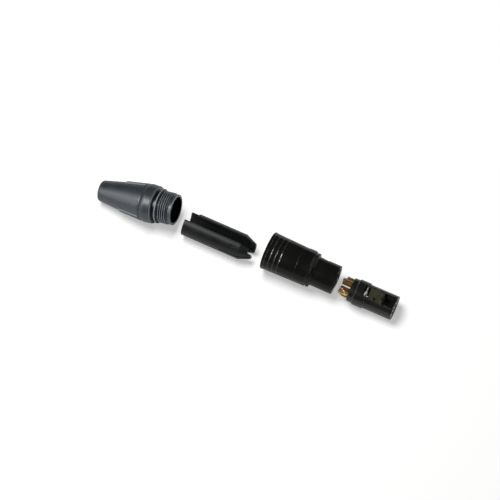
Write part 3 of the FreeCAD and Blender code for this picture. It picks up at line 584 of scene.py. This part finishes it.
def make_boot_sleeve():
    """Soft sleeve: a cone with a rounded tail, a fine seat line round each tongue, two mould lines; painted
    shade on the tail, the ends, the bore and the seat lines, painted highlight on the mould lines.
    """
    tail = [(TAIL_ROUND * (1 - math.cos(turn)), BOOT_TAIL - TAIL_ROUND * (1 - math.sin(turn)))
            for turn in (math.radians(15 * step) for step in range(7))]
    wall = [(x, BOOT_TAIL + x * BOOT_SLOPE) for x in even(TAIL_ROUND + 0.1, BOOT_LENGTH, 0.16)]
    inside = filled([(BOOT_LENGTH, BOOT_MOUTH), (BOOT_LENGTH, BOOT_SPIGOT), (BOOT_SPIGOT_END, BOOT_SPIGOT),
                     (BOOT_SPIGOT_END, BOOT_CABLE), (0.35, BOOT_CABLE), (0.0, BOOT_CABLE + 0.25)], 3.0)

    def shape(x, radius, angle):
        if x < TAIL_ROUND:
            return radius, PAINTED_SHADE_TONE * (1.0 - x / TAIL_ROUND)
        if x >= BOOT_LENGTH or radius < BOOT_TAIL:
            return radius, PAINTED_SHADE_TONE
        # The seat line is darkened as a painted shadow, the mould line paled as a painted highlight
        seat = bell(tongue_edge(x, angle), SEAT_WIDTH)
        mould = bell(math.sin(angle) * radius, MOULD_LINE_WIDTH)
        return radius - SEAT_DEPTH * seat + MOULD_LINE_HEIGHT * mould, MOULD_LINE_HIGHLIGHT * mould - seat

    net = Net()
    net.ring_body(tail + wall + inside, BOOT_ROUNDS, shape)
    piece = net.make("boot_sleeve", BUSHING_PLACE, "bushing", BOOT_RUBBER)
    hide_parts("boot")


def thread_height(x, angle, start, end):
    """Height from 0 to 1 of a thread over its root, run out at both ends."""
    run_out = min((x - start) / THREAD_RUN_OUT, (end - x) / THREAD_RUN_OUT, 1.0)
    return ridge(x - THREAD_PITCH * angle / math.tau, THREAD_PITCH, THREAD_FLAT) * max(run_out, 0.0)


def make_threaded_collar():
    """Hard collar: crowned grip ring, helical thread, bored mouth, and two tongues over the boot; painted
    shade in the thread roots, the groove and the bore, painted highlight on the thread crests and edges.
    """
    head = filled([
        (BOOT_LENGTH, BOOT_SPIGOT), (BOOT_LENGTH, LIP_RADIUS - 0.12), (BOOT_LENGTH + 0.12, LIP_RADIUS),
        (BOOT_LENGTH + 0.9, LIP_RADIUS), (BOOT_LENGTH + 1.15, LIP_RADIUS - 0.3),
        (BOOT_LENGTH + 1.4, LIP_RADIUS), (BOOT_LENGTH + 3.0, COLLAR_RADIUS + 0.2),
        (BOOT_LENGTH + 6.0, COLLAR_RADIUS), (COLLAR_END - 0.5, COLLAR_RADIUS),
        (COLLAR_END - 0.15, COLLAR_RADIUS - 0.15), (COLLAR_END, COLLAR_RADIUS - 0.5),
        (COLLAR_END, GROOVE_RADIUS), (GROOVE_END, GROOVE_RADIUS), (GROOVE_END, RING_RADIUS - 0.2),
        (GROOVE_END + 0.2, RING_RADIUS), (RING_END - 0.2, RING_RADIUS), (RING_END, RING_RADIUS - 0.2),
        (RING_END, THREAD_ROOT)], 1.2, closed=False)
    threads = [(x, THREAD_ROOT) for x in even(THREAD_START, THREAD_END, THREAD_PITCH / 12)]
    mouth = filled([
        (THREAD_END, THREAD_ROOT), (BUSHING_END - 0.4, THREAD_ROOT + 0.25),
        (BUSHING_END - 0.1, THREAD_ROOT + 0.2),
        (BUSHING_END, THREAD_ROOT), (BUSHING_END, MOUTH_RADIUS + 0.1), (BUSHING_END - 0.1, MOUTH_RADIUS),
        (CONE_FRONT, MOUTH_RADIUS), (BOOT_SPIGOT_END, CONE_RADIUS), (BOOT_SPIGOT_END, BOOT_SPIGOT),
        (BOOT_LENGTH, BOOT_SPIGOT)], 1.6, closed=False)[:-1]

    def shape(x, radius, angle):
        if radius == THREAD_ROOT and THREAD_START <= x < THREAD_END:
            height = thread_height(x, angle, THREAD_START, THREAD_END)
            return radius + height * (THREAD_CREST - THREAD_ROOT), 1.6 * height ** 3 - 1.0
        in_groove = COLLAR_END <= x <= GROOVE_END and radius < GROOVE_RADIUS + 0.01
        if in_groove or radius < MOUTH_RADIUS + 0.05:
            return radius, HOLE_PAINTED_SHADE
        return radius, EDGE_PAINTED_HIGHLIGHT * max(bell(x - edge, EDGE_HIGHLIGHT_WIDTH) for edge in HIGHLIGHTED_EDGES)

    net = Net()
    net.ring_body(head + threads + mouth, COLLAR_ROUNDS, shape)
    add_tongue(net, 0.0)
    add_tongue(net, math.pi)
    piece = net.make("threaded_collar", BUSHING_PLACE, "bushing", COLLAR_PLASTIC)
    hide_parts("bushing_collar")


def add_tongue(net, centre):
    """Tongue of the collar along the boot, its tip's corners and its upper edges rounded; painted highlight
    along its upper edges, painted shade on its underside.
    """
    lengths = even(TONGUE_TIP, TONGUE_TIP + 1.2, 0.08) + even(TONGUE_TIP + 1.2, BOOT_LENGTH + 0.5, 0.6)
    shares = [math.sin(math.pi / 2 * step / 16) for step in range(-16, 17)]
    top, low = [], []
    for share in shares:
        upper, under = [], []
        for x in lengths:
            radius = BOOT_TAIL + x * BOOT_SLOPE
            half = TONGUE_HALF * radius - eased(x - TONGUE_TIP, TONGUE_ROUND)
            inward = min((1.0 - abs(share)) * half, x - TONGUE_TIP)
            toward_root = min((x - TONGUE_TIP) / (BOOT_LENGTH - TONGUE_TIP), 1.0)
            height = TONGUE_HEIGHT + (LIP_RADIUS - BOOT_MOUTH - TONGUE_HEIGHT) * toward_root
            angle = centre + math.pi / 2 + share * half / radius
            raised = radius + height - eased(inward, TONGUE_EDGE_ROUND)
            upper.append(net.add(x, raised, angle, EDGE_PAINTED_HIGHLIGHT * bell(inward, TONGUE_EDGE_WIDTH)))
            under.append(net.add(x, radius - TONGUE_SINK, angle, PAINTED_SHADE_TONE / 2))
        top.append(upper)
        low.append(under)
    rows = top + low[::-1]
    net.join(rows, True)
    net.faces.append([row[0] for row in rows])
    net.faces.append([row[-1] for row in rows][::-1])


# Housing: the thread cut in its rear bore

HOUSING_THREAD_START, HOUSING_THREAD_END = 1.6, 8.7
HOUSING_THREAD_ROOT, HOUSING_THREAD_CREST = 8.83, 8.4
HOUSING_THREAD_BACK = HOUSING_THREAD_ROOT + 0.15
HOUSING_THREAD_ROUNDS = 240


def make_housing_thread():
    """Female thread standing on the wall of the rear bore, with painted shade at its roots and back and
    painted highlight on its crests.
    """
    inner = even(HOUSING_THREAD_START, HOUSING_THREAD_END, THREAD_PITCH / 10)
    outline = [(x, HOUSING_THREAD_ROOT) for x in inner]
    outline += [(HOUSING_THREAD_END, HOUSING_THREAD_BACK), (HOUSING_THREAD_START, HOUSING_THREAD_BACK)]

    def shape(x, radius, angle):
        if radius > HOUSING_THREAD_ROOT:
            return radius, HOLE_PAINTED_SHADE
        height = thread_height(x, angle, HOUSING_THREAD_START, HOUSING_THREAD_END)
        return radius + height * (HOUSING_THREAD_CREST - HOUSING_THREAD_ROOT), 2.0 * height - 1.0

    net = Net()
    net.ring_body(outline, HOUSING_THREAD_ROUNDS, shape)
    net.make("housing_thread", HOUSING_PLACE, "housing", BLACK_CHROME)


make_boot_sleeve()
make_threaded_collar()
make_housing_thread()


# Table, light and camera

TABLE_REACH = 3.0
TABLE_GLOW = 0.42
MIRRORED_GLOW = 0.05
ROOM_GLOW = 0.05


def table_finish():
    """White table: pale to the camera and in reflections, and still grey in the object's shadow."""
    material = bpy.data.materials.new("table_white")
    material.use_nodes = True
    tree = material.node_tree
    tree.nodes.clear()
    ray = add_node(tree, "ShaderNodeLightPath").outputs
    mirrored = number(tree, "MULTIPLY", ray["Is Glossy Ray"], MIRRORED_GLOW)
    level = number(tree, "MULTIPLY_ADD", ray["Is Camera Ray"], TABLE_GLOW, mirrored)
    matt = add_node(tree, "ShaderNodeBsdfDiffuse", Color=TABLE_WHITE)
    glow = add_node(tree, "ShaderNodeEmission", Strength=level)
    both = tree.nodes.new("ShaderNodeAddShader")
    tree.links.new(matt.outputs[0], both.inputs[0])
    tree.links.new(glow.outputs[0], both.inputs[1])
    add_node(tree, "ShaderNodeOutputMaterial", Surface=both.outputs[0])
    return material


def make_table():
    mesh = bpy.data.meshes.new("table")
    corners = [(-TABLE_REACH, -TABLE_REACH, 0), (TABLE_REACH, -TABLE_REACH, 0),
               (TABLE_REACH, TABLE_REACH, 0), (-TABLE_REACH, TABLE_REACH, 0)]
    mesh.from_pydata(corners, [], [(0, 1, 2, 3)])
    table = bpy.data.objects.new("table", mesh)
    bpy.context.collection.objects.link(table)
    mesh.materials.append(table_finish())
    return table


def make_lamp(name, place, width, length, power, along):
    """Soft lamp aimed at the middle of the row, its length lying along a direction."""
    data = bpy.data.lights.new(name, "AREA")
    data.shape = "RECTANGLE"
    data.size = width
    data.size_y = length
    data.energy = power
    back = mathutils.Vector(place).normalized()
    across = mathutils.Vector(along).cross(back).normalized()
    facing = mathutils.Matrix((across, back.cross(across), back)).transposed()
    lamp = bpy.data.objects.new(name, data)
    lamp.location = place
    lamp.rotation_euler = facing.to_euler()
    bpy.context.collection.objects.link(lamp)
    return lamp


def flag(lamp, thing, state):
    """Shade a lamp off one thing (EXCLUDE) or off everything else (INCLUDE); shadows still fall."""
    flagged = bpy.data.collections.new("flag_of_" + lamp.name)
    flagged.objects.link(thing)
    lamp.light_linking.receiver_collection = flagged
    flagged.collection_objects[0].light_linking.link_state = state


def make_room():
    world = bpy.data.worlds.new("room")
    bpy.context.scene.world = world
    world.use_nodes = True
    back = world.node_tree.nodes["Background"]
    back.inputs["Color"].default_value = (1.0, 1.0, 1.0, 1.0)
    back.inputs["Strength"].default_value = ROOM_GLOW


# Lamps: name, place, width, length, power, the way the length lies, and how the table is flagged

ACROSS_ROW = (0.0, 1.0, 0.0)
LAMPS = (
    ("key_softbox", (-0.38, -0.34, 0.74), 0.16, 0.3, 4.6, ACROSS_ROW, "EXCLUDE"),
    ("left_strip", (-0.55, -0.39, 0.52), 0.05, 1.0, 2.6, (0.0, 0.81, 0.58), "EXCLUDE"),
    ("back_strip", (0.58, 0.44, 0.62), 0.04, 0.6, 1.6, (-0.2, 0.87, -0.44), "EXCLUDE"),
    ("front_softbox", (0.34, -0.52, 0.72), 0.5, 0.5, 0.5, ACROSS_ROW, None),
    ("table_softbox", (-0.24, 0.05, 0.80), 0.34, 0.46, 5.8, ACROSS_ROW, "INCLUDE"),
)

CAMERA_ROUND = math.radians(25.3)
CAMERA_UP = math.radians(65.0)
CAMERA_DISTANCE = 1.0
CAMERA_TARGET = mathutils.Vector((1.32 * MM, 1.35 * MM, 0.0))
CAMERA_SENSOR = 36.0
PIXELS_PER_METRE = 1870.0
FRAME_PIXELS = 500


def make_camera():
    data = bpy.data.cameras.new("camera")
    data.sensor_width = CAMERA_SENSOR
    data.lens = CAMERA_SENSOR * PIXELS_PER_METRE * CAMERA_DISTANCE / FRAME_PIXELS
    data.clip_start = 0.01
    camera = bpy.data.objects.new("camera", data)
    level = math.cos(CAMERA_UP) * CAMERA_DISTANCE
    camera.location = CAMERA_TARGET + mathutils.Vector((
        math.sin(CAMERA_ROUND) * level, -math.cos(CAMERA_ROUND) * level,
        math.sin(CAMERA_UP) * CAMERA_DISTANCE))
    camera.rotation_euler = (CAMERA_TARGET - camera.location).to_track_quat("-Z", "Y").to_euler()
    bpy.context.collection.objects.link(camera)
    bpy.context.scene.camera = camera


TABLE = make_table()
make_room()
for *lamp_values, table_flag in LAMPS:
    new_lamp = make_lamp(*lamp_values)
    if table_flag:
        flag(new_lamp, TABLE, table_flag)
make_camera()
bpy.context.scene.view_settings.view_transform = "Standard"
